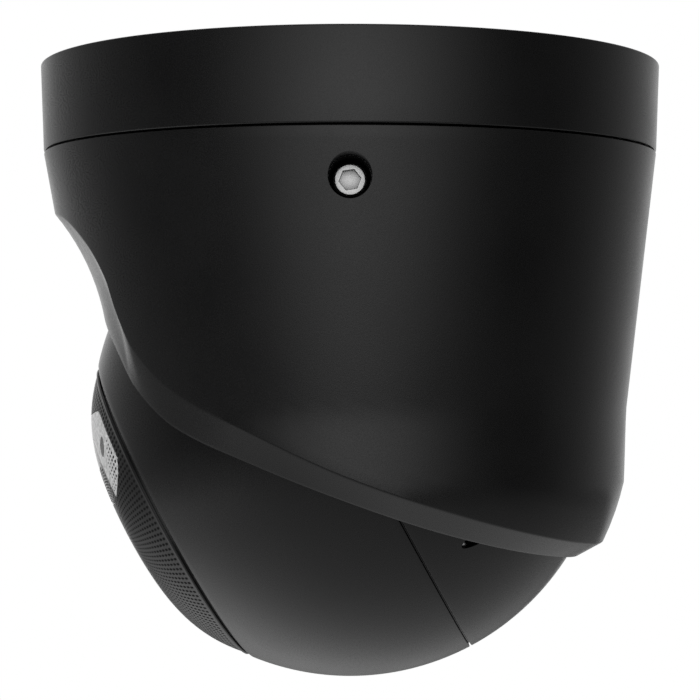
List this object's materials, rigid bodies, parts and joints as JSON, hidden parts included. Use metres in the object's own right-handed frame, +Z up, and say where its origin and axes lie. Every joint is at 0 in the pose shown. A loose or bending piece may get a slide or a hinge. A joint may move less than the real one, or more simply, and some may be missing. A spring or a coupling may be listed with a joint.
{
  "type": "dome cctv camera",
  "caption": "Ceiling turret camera: a ball camera with a dotted front cover and pill window, held in a hooded shroud under a round base; it pans, tilts and rolls.",
  "frame": {"origin": "centre of the ceiling face, in the plane of the top of the base", "axes": "+Z up, out of the ceiling face; -Y towards the front, where the lens looks; +X towards the lock screw"},
  "size_m": [0.11, 0.11, 0.1082],
  "materials": {
    "satin_black_paint": "fine satin black powder coat",
    "black_plastic": "matte moulded, fine texture",
    "dotted_cover": "satin moulded with a fine grid of dimples",
    "gloss_black_window": "polished infrared-clear plastic",
    "black_rubber": "matte",
    "stainless_steel": "bright, turned",
    "zinc_steel": "zinc plated",
    "cast_aluminium": "as machined",
    "white_nylon": "natural, waxy",
    "circuit_board": "green solder mask",
    "chip_black": "moulded epoxy",
    "lens_glass": "coated, polished",
    "reflector_silver": "vacuum-metallised"
  },
  "bodies": {
    "base": {"base_band": "satin_black_paint", "mounting_plate": "zinc_steel", "ceiling_gasket": "black_rubber", "cable_grommet": "black_rubber", "pan_hub": "cast_aluminium", "hub_screw_1": "zinc_steel", "hub_screw_2": "zinc_steel", "hub_screw_3": "zinc_steel", "pan_washer": "white_nylon"},
    "shroud": {"shroud_shell": "satin_black_paint", "retaining_ring": "cast_aluminium", "retaining_screw_1": "zinc_steel", "retaining_screw_2": "zinc_steel", "retaining_screw_3": "zinc_steel", "lock_screw": "stainless_steel", "lock_pad": "white_nylon", "ball_clamp_ring": "black_plastic", "clamp_post_1": "zinc_steel", "clamp_post_2": "zinc_steel", "clamp_post_3": "zinc_steel", "clamp_screw_1": "zinc_steel", "clamp_screw_2": "zinc_steel", "clamp_screw_3": "zinc_steel", "ball_liner": "white_nylon"},
    "cable_swivel": {"cable_bush": "black_plastic", "bush_clip": "stainless_steel"},
    "ball": {"ball_front_shell": "satin_black_paint", "ball_rear_shell": "satin_black_paint", "shell_seal": "black_rubber", "shell_screw_1": "stainless_steel", "shell_screw_2": "stainless_steel", "shell_screw_3": "stainless_steel", "shell_screw_4": "stainless_steel", "front_cover": "dotted_cover", "front_window": "gloss_black_window", "cover_gasket": "black_rubber", "lens_holder": "black_plastic", "lens_barrel": "black_plastic", "lens_glass": "lens_glass", "light_baffle": "black_rubber", "sensor_board": "circuit_board", "image_sensor": "chip_black", "ir_board": "circuit_board", "ir_reflector_left": "reflector_silver", "ir_reflector_right": "reflector_silver", "ir_led_left": "lens_glass", "ir_led_right": "lens_glass", "inner_frame": "cast_aluminium", "frame_screw_1": "zinc_steel", "frame_screw_2": "zinc_steel", "frame_screw_3": "zinc_steel", "main_board": "circuit_board", "board_screw_1": "zinc_steel", "board_screw_2": "zinc_steel", "board_screw_3": "zinc_steel", "main_processor": "chip_black", "heat_spreader": "cast_aluminium", "card_slot": "zinc_steel", "microphone_boot": "black_rubber", "microphone": "cast_aluminium"}
  },
  "joints": [
    {"name": "pan", "type": "hinge", "parent": "base", "child": "shroud", "pos_m": [0, 0, -0.01542], "axis": [0, 0, 1], "range_deg": [-175, 175]},
    {"name": "tilt", "type": "hinge", "parent": "shroud", "child": "cable_swivel", "pos_m": [0, 0, -0.06224], "axis": [1, 0, 0], "range_deg": [-28, 47]},
    {"name": "roll", "type": "hinge", "parent": "cable_swivel", "child": "ball", "pos_m": [0, 0, -0.06224], "axis": [0, -0.8829, -0.4695], "range_deg": [-175, 175]}
  ]
}
